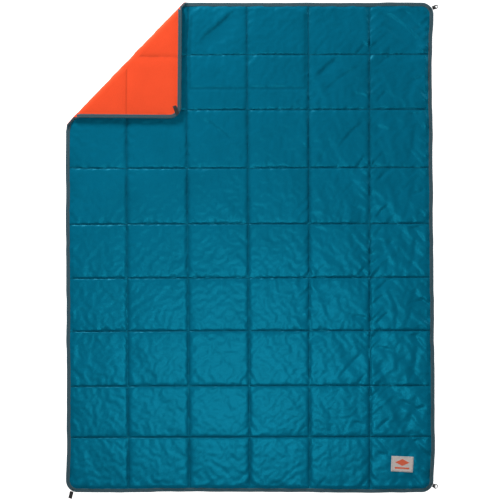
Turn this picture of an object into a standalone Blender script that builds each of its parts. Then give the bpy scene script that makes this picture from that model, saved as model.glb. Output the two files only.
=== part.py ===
"""Quilted camp blanket, lying face up with one corner folded over.

Two cloth shells hold one sheet of batting. A grid of thread seams quilts the three together, a
folded tape binds the edge, and a webbing loop is sewn under each corner. The face carries a
woven label, and the back carries a flat stow pocket at the middle of the head edge.

Units are metres. The head edge points to +Y, the face to +Z, and the origin is on the floor
under the middle of the blanket and its loops. Everything is laid out flat first. The corner
flap is then turned over about its fold, which is the state that the blanket rests in.
"""

import itertools
import math

import bmesh
import bpy
from mathutils import Matrix, Vector

# Finished size, over the edge binding
WIDTH = 1.400
LENGTH = 1.865
CORNER_RADIUS = 0.045
CORNER_FACETS = 5

# Quilting grid
COLUMNS = 6
ROWS = 9
LOFT = 0.013
SEAM_RISE = 0.0023
SHOULDER = 0.055
EDGE_MARGIN = 0.024

# Layers and the clearance that touching layers keep
CLOTH = 0.0008
PRESSED_BATTING = 0.0008
GAP = 0.0003

# Edge binding and threads
BINDING_DEPTH = 0.012
NOSE_FACETS = 6
THREAD_RADIUS = 0.00035
THREAD_SIDES = 6
TOPSTITCH_INSET = 0.009

# Corner fold: where its turning axis and its outer edge meet the left side and the head edge,
# measured from the square corner
AXIS_DOWN = 0.439
AXIS_ACROSS = 0.443
FOLD_DOWN = 0.467
FOLD_ACROSS = 0.450
FLAP_CLEARANCE = 0.0006

# Foot fold: three rows of cells fold up over the middle
FOOT_ROWS = 3
FOOT_FOLD_OFFSET = 0.004
FOOT_CLEARANCE = 0.0026

# Woven label
LABEL_WIDTH = 0.080
LABEL_HEIGHT = 0.058
LABEL_THICKNESS = 0.0005
LABEL_TURN = math.radians(-3.0)
LABEL_STITCH_INSET = 0.003

# Stow pocket on the back
POCKET_WIDTH = 0.452
POCKET_REACH = 0.340
POCKET_MOUTH_SETBACK = 0.030
POCKET_CORNER = 0.020
POCKET_STITCH_INSET = 0.005
HEM_WIDTH = 0.020
HEM_THICKNESS = 0.0004

# Webbing loops
WEBBING = 0.0013
WEBBING_WIDTH = 0.014
LOOP_ROOT = 0.005
FLAT_LOOP_GAP = 0.001
LOOP_LIFT = 0.0072
EYE_FACETS = 12
EYE_FULLNESS = 0.8
EYE_OPENING_SLOPE = 2.0
TWIST_SHARE = 0.5
BARTACK_LENGTH = 0.012
BARTACK_WIDTH = 0.002
BARTACK_THICKNESS = 0.0005

# Derived levels, from the floor up
SEAM_TOP = SEAM_RISE + CLOTH + GAP + PRESSED_BATTING + GAP + CLOTH
BINDING_LOW = SEAM_RISE - GAP - CLOTH
BINDING_TOP = SEAM_TOP + GAP + CLOTH
NOSE_RADIUS = (BINDING_TOP - BINDING_LOW) / 2
NOSE_Z = (BINDING_TOP + BINDING_LOW) / 2
CROSS_Z = SEAM_TOP + GAP + THREAD_RADIUS
LENGTHWISE_Z = CROSS_Z + 2 * THREAD_RADIUS + GAP
TOPSTITCH_Z = BINDING_TOP + GAP + THREAD_RADIUS

# Derived outline of the cloth inside the binding
CLOTH_WIDTH = WIDTH - 2 * NOSE_RADIUS
CLOTH_LENGTH = LENGTH - 2 * NOSE_RADIUS
CLOTH_CORNER = CORNER_RADIUS - NOSE_RADIUS
COLUMN_PITCH = CLOTH_WIDTH / COLUMNS
ROW_PITCH = CLOTH_LENGTH / ROWS
FOOT_FOLD_Y = -CLOTH_LENGTH / 2 + FOOT_ROWS * ROW_PITCH - FOOT_FOLD_OFFSET
FOOT_FOLD_Z = LOFT + FOOT_CLEARANCE / 2
CORNER_FOLD_Z = LOFT + FLAP_CLEARANCE / 2

PALETTE = {
    "teal cloth": ((0.004, 0.130, 0.235), 0.45),
    "orange cloth": ((0.90, 0.090, 0.030), 0.50),
    "white batting": ((0.85, 0.85, 0.82), 0.95),
    "slate tape": ((0.035, 0.075, 0.100), 0.80),
    "teal thread": ((0.006, 0.090, 0.150), 0.70),
    "slate thread": ((0.025, 0.050, 0.070), 0.70),
    "orange thread": ((0.70, 0.080, 0.030), 0.70),
    "black webbing": ((0.012, 0.012, 0.013), 0.85),
    "label cloth": ((0.62, 0.55, 0.52), 0.90),
}


def clear_scene():
    """Remove what the start-up file holds."""
    for thing in list(bpy.data.objects):
        bpy.data.objects.remove(thing, do_unlink=True)


def material(name):
    """The cloth, thread or webbing of this name, made on first use."""
    found = bpy.data.materials.get(name)
    if found:
        return found
    colour, roughness = PALETTE[name]
    made = bpy.data.materials.new(name)
    made.use_nodes = True
    shader = made.node_tree.nodes["Principled BSDF"]
    shader.inputs["Base Color"].default_value = (*colour, 1.0)
    shader.inputs["Roughness"].default_value = roughness
    shader.inputs["Metallic"].default_value = 0.0
    return made


def add_pivot(name, place, turn=None, parent=None):
    """An empty on a joint's axis. Its children are laid out in the flat, unfolded frame."""
    pivot = bpy.data.objects.new(name, None)
    pivot.empty_display_size = 0.05
    bpy.context.collection.objects.link(pivot)
    offset = place - (parent["flat_place"] if parent else Vector())
    pivot.matrix_basis = Matrix.Translation(offset) @ (turn or Matrix.Identity(4))
    pivot.parent = parent["pivot"] if parent else None
    return {"pivot": pivot, "flat_place": place}


def add_piece(name, bm, finish, pivot=None):
    """Store a flat-frame mesh as one object under its pivot."""
    bmesh.ops.recalc_face_normals(bm, faces=bm.faces)
    mesh = bpy.data.meshes.new(name)
    if pivot:
        bmesh.ops.translate(bm, vec=-pivot["flat_place"], verts=bm.verts)
    bm.to_mesh(mesh)
    bm.free()
    mesh.materials.append(material(finish))
    thing = bpy.data.objects.new(name, mesh)
    bpy.context.collection.objects.link(thing)
    if pivot:
        thing.parent = pivot["pivot"]
    return thing


# Cutting the flat layout into the parts that fold


def square_corner():
    """The head edge's left corner, before it is rounded."""
    return Vector((-WIDTH / 2, LENGTH / 2, 0))


def line_across_corner(down, across):
    """A point and the unit direction of a line from the left side to the head edge."""
    start = square_corner() + Vector((0, -down, 0))
    end = square_corner() + Vector((across, 0, 0))
    return start, (end - start).normalized()


def corner_outward(direction):
    """The level unit vector that points across a corner line to the square corner."""
    return Vector((-direction.y, direction.x, 0))


def turn_over(point, through, direction):
    """Turn a point half a turn about a level line."""
    along = (point - through).project(direction)
    return 2 * (through + along) - point


def fold_cuts():
    """For each part, the planes that bound it, as (point, outward normal)."""
    edge_point, edge_direction = line_across_corner(FOLD_DOWN, FOLD_ACROSS)
    outward = corner_outward(edge_direction)
    axis_point, axis_direction = line_across_corner(AXIS_DOWN, AXIS_ACROSS)
    flap_point = turn_over(edge_point, axis_point, axis_direction)
    flap_end = turn_over(edge_point + edge_direction, axis_point, axis_direction)
    flap_inward = -corner_outward((flap_end - flap_point).normalized())
    foot_point = Vector((0, FOOT_FOLD_Y, 0))
    half_gap = GAP / 2
    return {
        "main": [
            (edge_point - outward * half_gap, outward),
            (foot_point + Vector((0, half_gap, 0)), Vector((0, -1, 0))),
        ],
        "foot": [(foot_point - Vector((0, half_gap, 0)), Vector((0, 1, 0)))],
        "flap": [(flap_point - flap_inward * half_gap, flap_inward)],
    }


def trim(bm, point, normal):
    """Cut away what lies beyond a plane and close the cut."""
    bmesh.ops.bisect_plane(
        bm,
        geom=bm.verts[:] + bm.edges[:] + bm.faces[:],
        dist=1e-7,
        plane_co=point,
        plane_no=normal,
        clear_outer=True,
    )
    rim = [edge for edge in bm.edges if edge.is_boundary]
    if rim:
        bmesh.ops.edgeloop_fill(bm, edges=rim)


# Shapes


def grid_lines(size, count):
    """Grid positions across a side as (place, raised, cell): seams are low, shoulders are raised."""
    pitch = size / count
    lines = [(-size / 2, False, 0), (-size / 2 + EDGE_MARGIN, False, 0)]
    for cell in range(count):
        start = -size / 2 + cell * pitch
        if cell:
            lines.append((start, False, cell))
        lines.append((start + SHOULDER, True, cell))
        lines.append((start + pitch - SHOULDER, True, cell))
    lines.append((size / 2 - EDGE_MARGIN, False, count - 1))
    lines.append((size / 2, False, count - 1))
    return lines


def over_pocket(column, row):
    """Whether a cell lies on the stow pocket, which keeps its underside level."""
    pocket_columns = math.ceil(POCKET_WIDTH / 2 / COLUMN_PITCH)
    pocket_rows = math.ceil(POCKET_REACH / ROW_PITCH)
    inside_columns = COLUMNS / 2 - pocket_columns <= column < COLUMNS / 2 + pocket_columns
    return inside_columns and row >= ROWS - pocket_rows


def underside(seam, cell):
    """A surface that bulges down in each cell, except over the pocket."""
    return lambda filled, column, row: cell if filled and not over_pocket(column, row) else seam


def topside(seam, cell):
    """A surface that bulges up in each cell."""
    return lambda filled, column, row: cell if filled else seam


def quilted_layer(low, high, inset=0.0):
    """One layer of the quilt, between two surfaces that are pressed together along the seams."""
    bm = bmesh.new()
    columns = grid_lines(CLOTH_WIDTH, COLUMNS)
    rows = grid_lines(CLOTH_LENGTH, ROWS)
    for surface in (low, high):
        grid = []
        for x, raised_x, column in columns:
            heights = [surface(raised_x and raised_y, column, row) for _, raised_y, row in rows]
            grid.append([bm.verts.new((x, y, z)) for (y, _, _), z in zip(rows, heights)])
        for i, j in itertools.product(range(len(columns) - 1), range(len(rows) - 1)):
            square = [grid[i][j], grid[i + 1][j], grid[i + 1][j + 1], grid[i][j + 1]]
            if columns[i][1] != rows[j][1]:
                square = square[1:] + square[:1]
            bm.faces.new((square[0], square[1], square[2]))
            bm.faces.new((square[0], square[2], square[3]))
    rim = [edge for edge in bm.edges if edge.is_boundary]
    bmesh.ops.bridge_loops(bm, edges=rim)
    for point, normal in outline_planes(inset):
        trim(bm, point, normal)
    return bm


def outline_planes(inset):
    """The planes round the cloth's outline, moved inward by an inset."""
    planes = []
    for sign_x in (-1, 1):
        planes.append((Vector((sign_x * (CLOTH_WIDTH / 2 - inset), 0, 0)), Vector((sign_x, 0, 0))))
        for sign_y in (-1, 1):
            centre = corner_centre(sign_x, sign_y)
            for step in range(1, CORNER_FACETS):
                angle = step / CORNER_FACETS * math.pi / 2
                normal = Vector((sign_x * math.cos(angle), sign_y * math.sin(angle), 0))
                planes.append((centre + normal * (CLOTH_CORNER - inset), normal))
    for sign_y in (-1, 1):
        planes.append((Vector((0, sign_y * (CLOTH_LENGTH / 2 - inset), 0)), Vector((0, sign_y, 0))))
    if inset:
        return planes
    # With no inset the straight sides are the layer's own edges, so only the corners are cut.
    return [plane for plane in planes if plane[1].x * plane[1].y]


def corner_centre(sign_x, sign_y):
    """The centre of a rounded corner."""
    reach_x = CLOTH_WIDTH / 2 - CLOTH_CORNER
    reach_y = CLOTH_LENGTH / 2 - CLOTH_CORNER
    return Vector((sign_x * reach_x, sign_y * reach_y, 0))


def side_station(sign_x, y):
    """A place on a long side, with the level vector that points out of the cloth."""
    return Vector((sign_x * CLOTH_WIDTH / 2, y, 0)), Vector((sign_x, 0, 0))


def end_station(sign_y, x):
    """The same on the head or foot edge."""
    return Vector((x, sign_y * CLOTH_LENGTH / 2, 0)), Vector((0, sign_y, 0))


def corner_stations(sign_x, sign_y, from_side):
    """The places round a corner. The outward vectors are long enough to mitre each facet."""
    half_step = math.pi / 4 / CORNER_FACETS
    centre = corner_centre(sign_x, sign_y)
    stations = []
    for step in range(CORNER_FACETS):
        angle = (2 * step + 1) * half_step
        out = Vector((sign_x * math.cos(angle), sign_y * math.sin(angle), 0)) / math.cos(half_step)
        stations.append((centre + out * CLOTH_CORNER, out))
    return stations if from_side else stations[::-1]


def rings_at(bm, stations, profile):
    """A ring of vertices at each station, from a closed profile of (outward, z) points."""
    rings = []
    for place, out in stations:
        rings.append([bm.verts.new(place + out * u + Vector((0, 0, z))) for u, z in profile])
    return rings


def join_rings(bm, ring, following):
    """The wall between two rings."""
    for i in range(len(ring)):
        j = (i + 1) % len(ring)
        bm.faces.new((ring[i], ring[j], following[j], following[i]))


def sweep(stations, profile):
    """Sweep a closed profile along stations and close both ends."""
    bm = bmesh.new()
    rings = rings_at(bm, stations, profile)
    for ring, following in zip(rings, rings[1:]):
        join_rings(bm, ring, following)
    bm.faces.new(rings[0])
    bm.faces.new(rings[-1])
    return bm


def binding_profile():
    """The folded tape: two legs round the edge of the cloth, joined by a round nose."""
    nose = []
    for step in range(NOSE_FACETS + 1):
        angle = math.pi / 2 - step / NOSE_FACETS * math.pi
        nose.append((NOSE_RADIUS * math.cos(angle), NOSE_Z + NOSE_RADIUS * math.sin(angle)))
    slot = [(GAP, BINDING_LOW + CLOTH), (GAP, BINDING_TOP - CLOTH)]
    low_leg = [(-BINDING_DEPTH, BINDING_LOW), (-BINDING_DEPTH, BINDING_LOW + CLOTH)]
    top_leg = [(-BINDING_DEPTH, BINDING_TOP - CLOTH), (-BINDING_DEPTH, BINDING_TOP)]
    return nose + low_leg + slot + top_leg


def thread_profile(outward, z):
    """A thread's round section."""
    turns = [2 * math.pi * (side + 0.5) / THREAD_SIDES for side in range(THREAD_SIDES)]
    return [(outward + THREAD_RADIUS * math.cos(t), z + THREAD_RADIUS * math.sin(t)) for t in turns]


def straight_thread(start, end):
    """A straight run of thread between two points at the same height."""
    along = (end - start).normalized()
    across = Vector((along.y, -along.x, 0))
    level = Vector((1, 1, 0))
    return sweep([(start * level, across), (end * level, across)], thread_profile(0, start.z))


def closed_thread(outline, z):
    """A run of thread round a closed outline of (place, outward) stations."""
    bm = bmesh.new()
    rings = rings_at(bm, outline, thread_profile(0, z))
    for ring, following in zip(rings, rings[1:] + rings[:1]):
        join_rings(bm, ring, following)
    return bm


def plate(outline, low, high):
    """A flat piece between two heights."""
    bm = bmesh.new()
    base = bm.faces.new([bm.verts.new((point.x, point.y, low)) for point in outline])
    grown = bmesh.ops.extrude_face_region(bm, geom=[base])
    top = [item for item in grown["geom"] if isinstance(item, bmesh.types.BMVert)]
    bmesh.ops.translate(bm, vec=(0, 0, high - low), verts=top)
    return bm


def rectangle(centre, width, height, turn=0.0):
    """The corners of a turned rectangle."""
    rotation = Matrix.Rotation(turn, 3, "Z")
    signs = ((-1, -1), (1, -1), (1, 1), (-1, 1))
    return [centre + rotation @ Vector((sx * width / 2, sy * height / 2, 0)) for sx, sy in signs]


# Sub-parts


def part_name(name, part):
    """A piece's own name on the main part, with the fold's name after it elsewhere."""
    return name if part == "main" else f"{name}_{part}"


def make_layers(pivots):
    """The face shell, the back shell and the batting, each cut at the folds."""
    batting_low = SEAM_RISE + CLOTH + GAP
    back = underside(SEAM_RISE, 0.0), underside(SEAM_RISE + CLOTH, CLOTH)
    filling_low = underside(batting_low, CLOTH + GAP)
    filling_top = topside(batting_low + PRESSED_BATTING, LOFT - CLOTH - GAP)
    face = topside(SEAM_TOP - CLOTH, LOFT - CLOTH), topside(SEAM_TOP, LOFT)
    layers = (
        ("face_shell", "teal cloth", face, 0.0),
        ("back_shell", "orange cloth", back, 0.0),
        ("batting", "white batting", (filling_low, filling_top), BINDING_DEPTH),
    )
    for name, finish, surfaces, inset in layers:
        for part, planes in fold_cuts().items():
            bm = quilted_layer(*surfaces, inset)
            for point, normal in planes:
                trim(bm, point, normal)
            add_piece(part_name(name, part), bm, finish, pivots[part])


def make_seams(pivots):
    """The needle threads of the quilting, cut at the folds."""
    reach_x = CLOTH_WIDTH / 2 - BINDING_DEPTH - GAP
    reach_y = CLOTH_LENGTH / 2 - BINDING_DEPTH - GAP
    seams = []
    for column in range(1, COLUMNS):
        x = -CLOTH_WIDTH / 2 + column * COLUMN_PITCH
        ends = Vector((x, -reach_y, LENGTHWISE_Z)), Vector((x, reach_y, LENGTHWISE_Z))
        seams.append((f"lengthwise_seam_{column}", ends))
    for row in range(1, ROWS):
        y = CLOTH_LENGTH / 2 - row * ROW_PITCH
        ends = Vector((-reach_x, y, CROSS_Z)), Vector((reach_x, y, CROSS_Z))
        seams.append((f"crosswise_seam_{row}", ends))
    for name, (start, end) in seams:
        for part, planes in fold_cuts().items():
            bm = straight_thread(start, end)
            for point, normal in planes:
                trim(bm, point, normal)
            if bm.verts:
                add_piece(part_name(name, part), bm, "teal thread", pivots[part])
            else:
                bm.free()


def edge_runs():
    """The four runs of edge between folds, as (part, name, stations)."""
    beyond_side = CLOTH_LENGTH / 2 - CLOTH_CORNER
    beyond_head = -CLOTH_WIDTH / 2 + CLOTH_CORNER
    head_turn = corner_stations(1, 1, from_side=False)
    foot_right = corner_stations(1, -1, from_side=True)
    foot_left = corner_stations(-1, -1, from_side=False)
    flap_turn = corner_stations(-1, 1, from_side=True)
    # Each run goes a little past its fold, and is then trimmed there.
    left = [side_station(-1, FOOT_FOLD_Y - SHOULDER), side_station(-1, beyond_side)]
    head = [end_station(1, beyond_head), *head_turn, side_station(1, FOOT_FOLD_Y - SHOULDER)]
    foot = [side_station(1, FOOT_FOLD_Y + SHOULDER), *foot_right, *foot_left]
    foot.append(side_station(-1, FOOT_FOLD_Y + SHOULDER))
    flap = [side_station(-1, LENGTH / 2 - FOLD_DOWN), *flap_turn]
    flap.append(end_station(1, -WIDTH / 2 + FOLD_ACROSS))
    return (
        ("main", "left", left),
        ("main", "head", head),
        ("foot", "foot", foot),
        ("flap", "flap", flap),
    )


def make_edges(pivots):
    """The binding tape and the topstitching through it."""
    cuts = fold_cuts()
    for part, name, stations in edge_runs():
        pieces = (
            ("edge_binding", "slate tape", binding_profile()),
            ("topstitching", "slate thread", thread_profile(NOSE_RADIUS - TOPSTITCH_INSET, TOPSTITCH_Z)),
        )
        for kind, finish, profile in pieces:
            bm = sweep(stations, profile)
            for point, normal in cuts[part]:
                trim(bm, point, normal)
            add_piece(f"{kind}_{name}", bm, finish, pivots[part])


def make_label(pivots):
    """The woven label on the last cell, and the stitching round it."""
    centre = Vector((CLOTH_WIDTH / 2 - COLUMN_PITCH / 2, -CLOTH_LENGTH / 2 + ROW_PITCH / 2, 0))
    low = LOFT + GAP
    corners = rectangle(centre, LABEL_WIDTH, LABEL_HEIGHT, LABEL_TURN)
    add_piece("woven_label", plate(corners, low, low + LABEL_THICKNESS), "label cloth", pivots["foot"])
    inset = 2 * LABEL_STITCH_INSET
    stitch_line = rectangle(centre, LABEL_WIDTH - inset, LABEL_HEIGHT - inset, LABEL_TURN)
    outline = []
    for corner in stitch_line:
        turned = Matrix.Rotation(-LABEL_TURN, 3, "Z") @ (corner - centre)
        mitre = Vector((math.copysign(1, turned.x), math.copysign(1, turned.y), 0))
        outline.append((corner, Matrix.Rotation(LABEL_TURN, 3, "Z") @ mitre))
    stitching = closed_thread(outline, low + LABEL_THICKNESS + GAP + THREAD_RADIUS)
    add_piece("label_stitching", stitching, "slate thread", pivots["foot"])


def make_pocket():
    """The flat pocket on the back: its panel, the hem along its mouth and its stitching."""
    top = LENGTH / 2 - POCKET_MOUTH_SETBACK
    bottom = LENGTH / 2 - POCKET_REACH
    half = POCKET_WIDTH / 2
    panel_high = SEAM_RISE - GAP
    panel_low = panel_high - CLOTH
    cut = POCKET_CORNER
    outline = [
        Vector((half, top, 0)),
        Vector((-half, top, 0)),
        Vector((-half, bottom + cut, 0)),
        Vector((-half + cut, bottom, 0)),
        Vector((half - cut, bottom, 0)),
        Vector((half, bottom + cut, 0)),
    ]
    add_piece("pocket_panel", plate(outline, panel_low, panel_high), "orange cloth")
    hem_centre = Vector((0, top - HEM_WIDTH / 2, 0))
    hem = rectangle(hem_centre, POCKET_WIDTH, HEM_WIDTH)
    hem_high = panel_low - GAP
    add_piece("pocket_hem", plate(hem, hem_high - HEM_THICKNESS, hem_high), "slate tape")
    inset = POCKET_STITCH_INSET
    side = half - inset
    level = panel_low - GAP - THREAD_RADIUS
    mitre = math.tan(math.pi / 8)
    chamfer = cut - inset * (1 - mitre)
    start = top - HEM_WIDTH - GAP
    stations = [
        (Vector((side, start, 0)), Vector((1, 0, 0))),
        (Vector((side, bottom + inset + chamfer, 0)), Vector((1, -mitre, 0))),
        (Vector((side - chamfer, bottom + inset, 0)), Vector((mitre, -1, 0))),
        (Vector((-side + chamfer, bottom + inset, 0)), Vector((-mitre, -1, 0))),
        (Vector((-side, bottom + inset + chamfer, 0)), Vector((-1, -mitre, 0))),
        (Vector((-side, start, 0)), Vector((-1, 0, 0))),
    ]
    add_piece("pocket_stitching", sweep(stations, thread_profile(0, level)), "orange thread")


def loop_outline(crotch, reach, spread):
    """The outer and inner sides of a webbing loop's eye, from one leg round to the other."""
    outer = []
    inner = []
    for step in range(EYE_FACETS + 1):
        angle = math.pi * step / EYE_FACETS
        swell = math.sin(angle)
        side = math.cos(angle)
        along = crotch + (reach - WEBBING - crotch) * swell**EYE_FULLNESS
        across = spread / 2 * side * min(1.0, EYE_OPENING_SLOPE * swell)
        inner.append((along, across))
        outer.append((along + WEBBING * swell, across + WEBBING * math.sin(math.pi / 2 * side)))
    return outer, inner


def webbing_loop(lead, reach, spread, roll, lift):
    """A loop of webbing along +X, from its sewn root to its eye, which may roll and lift."""
    crotch = lead + LOOP_ROOT
    outer, inner = loop_outline(crotch, reach, spread)
    bm = bmesh.new()

    def place(point, side):
        along, across = point
        share = min(1.0, max(0.0, (along - crotch) / (TWIST_SHARE * (reach - crotch))))
        ease = share * share * (3 - 2 * share)
        edge = Matrix.Rotation(roll * ease, 3, "X") @ Vector((0, side * WEBBING_WIDTH / 2, across))
        return bm.verts.new((along, edge.y, edge.z + lift * ease))

    walls = []
    for side in (-1, 1):
        legs = [place((lead, WEBBING), side), place((lead, -WEBBING), side)]
        outside = [place(point, side) for point in outer]
        inside = [place(point, side) for point in inner[:-1]]
        for i in range(EYE_FACETS):
            inner_end = inside[(i + 1) % EYE_FACETS]
            bm.faces.new((outside[i], outside[i + 1], inner_end, inside[i]))
        bm.faces.new((legs[0], outside[0], inside[0], outside[-1], legs[1]))
        walls.append((outside + legs[::-1], inside))
    for near, far in zip(*walls):
        for i in range(len(near)):
            j = (i + 1) % len(near)
            bm.faces.new((near[i], near[j], far[j], far[i]))
    return bm


def loop_plan():
    """Each corner's loop: its part, where it leaves the round corner, its heading and how it lies."""
    flat = {"spread": FLAT_LOOP_GAP, "roll": 0, "lift": 0.0}
    left = {"signs": (-1, 1), "part": "flap", "leaves": 48, "heading": -21, "reach": 0.034, **flat}
    right = {"signs": (1, 1), "part": "main", "leaves": 33, "heading": 15, "reach": 0.027}
    foot_left = {"signs": (-1, -1), "part": "foot", "leaves": 60, "heading": -104, "reach": 0.033}
    foot_right = {"signs": (1, -1), "part": "foot", "leaves": 24, "heading": -20, "reach": 0.022}
    return {
        "head_left": left,
        "head_right": {**right, "spread": 0.013, "roll": 80, "lift": LOOP_LIFT},
        "foot_left": {**foot_left, **flat},
        "foot_right": {**foot_right, "spread": 0.018, "roll": 80, "lift": LOOP_LIFT},
    }


def make_loops(pivots):
    """The four webbing loops on their sewn roots, and the bartack that holds each one."""
    for corner, plan in loop_plan().items():
        sign_x, sign_y = plan["signs"]
        leaves = math.radians(plan["leaves"])
        heading = math.radians(plan["heading"])
        out = Vector((sign_x * math.cos(leaves), sign_y * math.sin(leaves), 0))
        edge = corner_centre(sign_x, sign_y) + out * CLOTH_CORNER
        tucked = plan["part"] == "flap"
        if tucked:
            height = BINDING_LOW - GAP - WEBBING - FLAT_LOOP_GAP / 2
            lead = 0.0
        else:
            height = NOSE_Z
            skew = abs(heading - math.atan2(out.y, out.x))
            lead = (NOSE_RADIUS + GAP) / math.cos(skew) + WEBBING_WIDTH / 2 * math.tan(skew)
        hinge = edge + Vector((0, 0, height))
        pivot = add_pivot(f"{corner}_loop_axis", hinge, parent=pivots[plan["part"]])
        bm = webbing_loop(lead, plan["reach"], plan["spread"], math.radians(plan["roll"]), plan["lift"])
        placed = Matrix.Translation(hinge) @ Matrix.Rotation(heading, 4, "Z")
        bmesh.ops.transform(bm, matrix=placed, verts=bm.verts)
        add_piece(f"{corner}_loop", bm, "black webbing", pivot)
        make_bartack(corner, edge, out, pivots[plan["part"]])


def make_bartack(corner, edge, out, pivot):
    """A short dense bar of stitches on the binding, across the loop's root."""
    inset = TOPSTITCH_INSET - NOSE_RADIUS - THREAD_RADIUS - GAP - BARTACK_WIDTH / 2
    centre = edge - out * inset
    turn = math.atan2(out.x, -out.y)
    low = BINDING_TOP + GAP
    corners = rectangle(centre, BARTACK_LENGTH, BARTACK_WIDTH, turn)
    add_piece(f"{corner}_bartack", plate(corners, low, low + BARTACK_THICKNESS), "slate thread", pivot)


def make_pivots():
    """The fold axes. The flap's children are turned over about theirs."""
    axis_point, axis_direction = line_across_corner(AXIS_DOWN, AXIS_ACROSS)
    flap_place = axis_point + Vector((0, 0, CORNER_FOLD_Z))
    half_turn = Matrix.Rotation(math.pi, 4, axis_direction)
    return {
        "main": None,
        "foot": add_pivot("foot_fold_axis", Vector((0, FOOT_FOLD_Y, FOOT_FOLD_Z))),
        "flap": add_pivot("corner_fold_axis", flap_place, half_turn),
    }


def centre_over_origin():
    """Move everything level so that the origin is under the middle of the whole box."""
    bpy.context.view_layer.update()
    pieces = [thing for thing in bpy.data.objects if thing.type == "MESH"]
    corners = [thing.matrix_world @ vertex.co for thing in pieces for vertex in thing.data.vertices]
    for thing in bpy.data.objects:
        if thing.parent is None:
            for axis in (0, 1):
                places = [corner[axis] for corner in corners]
                thing.location[axis] -= (min(places) + max(places)) / 2


def main():
    clear_scene()
    pivots = make_pivots()
    make_layers(pivots)
    make_seams(pivots)
    make_edges(pivots)
    make_label(pivots)
    make_pocket()
    make_loops(pivots)
    centre_over_origin()


main()
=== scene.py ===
"""The looks of a quilted camp blanket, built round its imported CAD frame.

Every sheet is made from its flat cut: its UVs are metres across the cloth, so weave, sheen and
stitching follow the cut through the folds.
"""

import math

import bpy
import numpy as np
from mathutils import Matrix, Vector


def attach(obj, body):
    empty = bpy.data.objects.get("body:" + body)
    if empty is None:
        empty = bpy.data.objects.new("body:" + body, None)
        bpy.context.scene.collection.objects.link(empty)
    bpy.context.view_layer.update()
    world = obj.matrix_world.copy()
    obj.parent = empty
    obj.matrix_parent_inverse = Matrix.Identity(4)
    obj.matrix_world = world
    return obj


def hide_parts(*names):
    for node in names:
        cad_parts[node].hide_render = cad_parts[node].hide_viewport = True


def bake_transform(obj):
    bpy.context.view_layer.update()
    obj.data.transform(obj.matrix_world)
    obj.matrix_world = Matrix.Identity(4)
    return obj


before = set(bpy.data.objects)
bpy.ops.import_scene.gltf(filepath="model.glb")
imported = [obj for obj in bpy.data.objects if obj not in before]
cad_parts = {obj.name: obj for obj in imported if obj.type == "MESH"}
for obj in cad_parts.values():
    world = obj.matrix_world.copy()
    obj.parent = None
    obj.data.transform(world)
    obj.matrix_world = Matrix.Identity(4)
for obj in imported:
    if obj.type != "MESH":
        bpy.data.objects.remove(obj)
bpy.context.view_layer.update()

# ---- sizes, in metres

WIDTH, LENGTH = 1.400, 1.865
NOSE = 0.0026
CLOTH_W, CLOTH_L = WIDTH - 2 * NOSE, LENGTH - 2 * NOSE
HALF_X, HALF_Y = CLOTH_W / 2, CLOTH_L / 2
CORNER = 0.045 - NOSE
COLUMNS, ROWS = 6, 9
PITCH_X, PITCH_Y = CLOTH_W / COLUMNS, CLOTH_L / ROWS
LOFT = 0.013
CEILING = 0.0140  # the fullest a cell may stand
SEAM_TOP = 0.0053  # the face at a seam
SEAM_LOW = 0.0023  # the back at a seam
BINDING = 0.012
BINDING_GAP = 0.0005  # from the binding's inner edge to where the cloth starts to fill
NOSE_Z = 0.0038  # the middle of the binding
FOLD_Z = 0.0133  # the middle of the corner fold
POCKET_HALF, POCKET_HEAD, POCKET_FOOT = 0.226, LENGTH / 2 - 0.030, LENGTH / 2 - 0.340
HEM_WIDTH = 0.020
POCKET_INSET = 0.005  # from the pocket's edge to the stitches that hold it
SHIFT = np.array([-0.008533, 0.012716])  # from the middle of the cloth to the row frame's origin

# where the corner fold crosses the left side and the head edge: its turning axis and its nose
HEAD_LEFT = np.array([-WIDTH / 2, LENGTH / 2])
AXIS_A, AXIS_B = HEAD_LEFT - [0, 0.439], HEAD_LEFT + [0.443, 0]
EDGE_SIDE, EDGE_HEAD = 0.467, 0.450
EDGE_A, EDGE_B = HEAD_LEFT - [0, EDGE_SIDE], HEAD_LEFT + [EDGE_HEAD, 0]


def unit(v):
    return v / np.linalg.norm(v)


AXIS_DIR = unit(AXIS_B - AXIS_A)
EDGE_DIR = unit(EDGE_B - EDGE_A)
EDGE_OUT = np.array([-EDGE_DIR[1], EDGE_DIR[0]])
AXIS_OUT = np.array([-AXIS_DIR[1], AXIS_DIR[0]])


# ---- seeded, smooth noise


def noise(x, y, seed):
    """Smooth value noise on a unit lattice, from -1 to 1."""
    xi, yi = np.floor(x).astype(np.int64), np.floor(y).astype(np.int64)
    fx, fy = x - xi, y - yi
    fx, fy = fx * fx * fx * (fx * (6 * fx - 15) + 10), fy * fy * fy * (fy * (6 * fy - 15) + 10)

    def value(i, j):
        h = (i * 374761393 + j * 668265263 + seed * 974634777) & 0x7FFFFFFF
        h = ((h ^ (h >> 13)) * 1274126177) & 0x7FFFFFFF
        return ((h ^ (h >> 16)) & 0xFFFF) / 32767.5 - 1.0

    low = value(xi, yi) * (1 - fx) + value(xi + 1, yi) * fx
    high = value(xi, yi + 1) * (1 - fx) + value(xi + 1, yi + 1) * fx
    return low * (1 - fy) + high * fy


def layered(x, y, seed, octaves=3):
    total, size = 0.0, 1.0
    for k in range(octaves):
        total = total + noise(x * 2**k, y * 2**k, seed + 17 * k) * size
        size *= 0.5
    return total


def smooth(a, b, x):
    t = np.clip((x - a) / (b - a), 0, 1)
    return t * t * (3 - 2 * t)


def past_line(x, y, point, outward):
    """How far flat points lie past a line, given by a point on it and its outward direction."""
    return (x - point[0]) * outward[0] + (y - point[1]) * outward[1]


def run_along(points):
    """The distance along a path at each of its points."""
    return np.concatenate([[0], np.cumsum(np.linalg.norm(np.diff(points, axis=0), axis=1))])


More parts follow.
